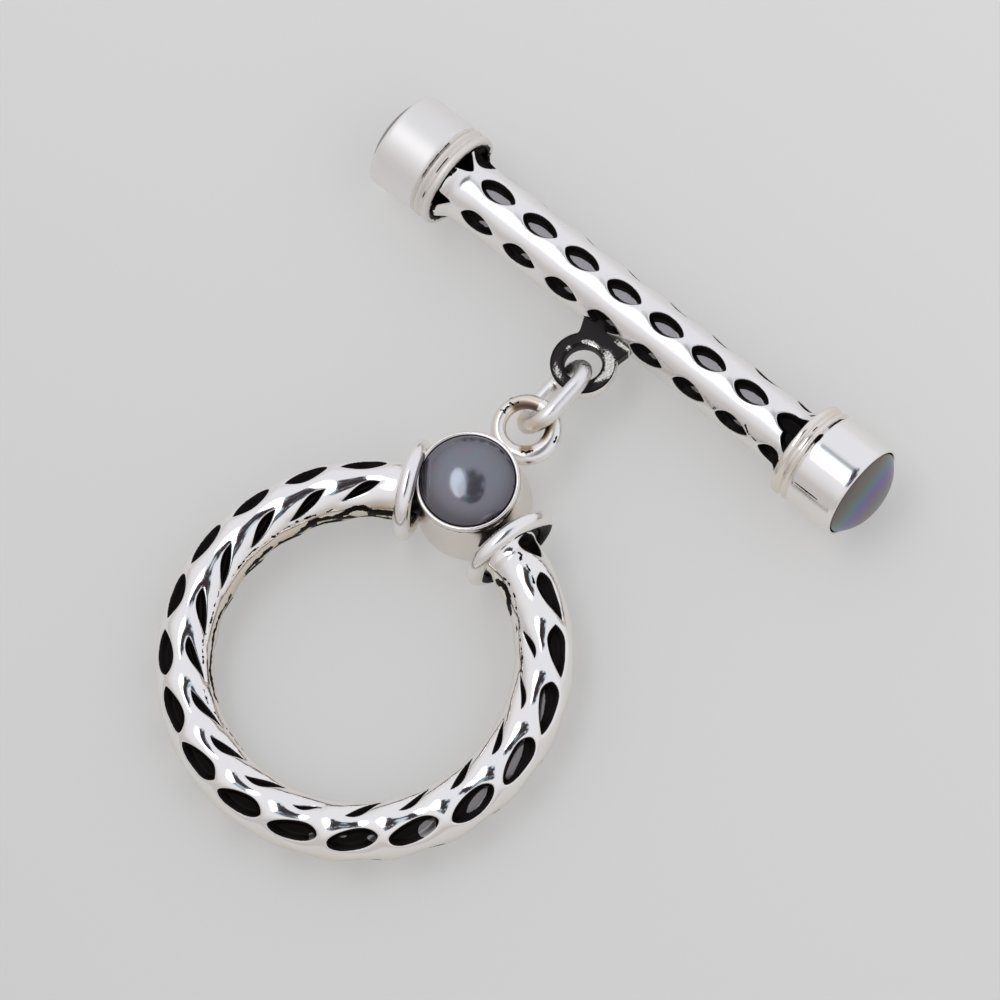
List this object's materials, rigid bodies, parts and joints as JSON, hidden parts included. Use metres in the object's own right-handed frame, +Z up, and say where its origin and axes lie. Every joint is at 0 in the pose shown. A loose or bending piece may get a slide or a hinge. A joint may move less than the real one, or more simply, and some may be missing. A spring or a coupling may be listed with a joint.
{
  "type": "toggle clasp",
  "caption": "Silver toggle clasp: a pitted ring with a pearl setting, a pitted bar with pearl end caps, and the oval jump ring that joins them.",
  "frame": {"origin": "middle of the bounding box at the level of the surface that the clasp lies on", "axes": "+X along the bar, towards the cap whose pearl the picture shows; +Y from the ring towards the bar; +Z up from the surface"},
  "size_m": [0.0338, 0.0368, 0.0055],
  "materials": {
    "silver": "polished and antiqued",
    "pearl_grey": "nacre",
    "pearl_dark": "nacre"
  },
  "bodies": {
    "root": {"toggle_ring": "silver", "ring_pearl": "pearl_grey", "toggle_bar": "silver", "bar_pearl_near": "pearl_dark", "bar_pearl_far": "pearl_dark", "jump_ring": "silver"}
  },
  "joints": []
}
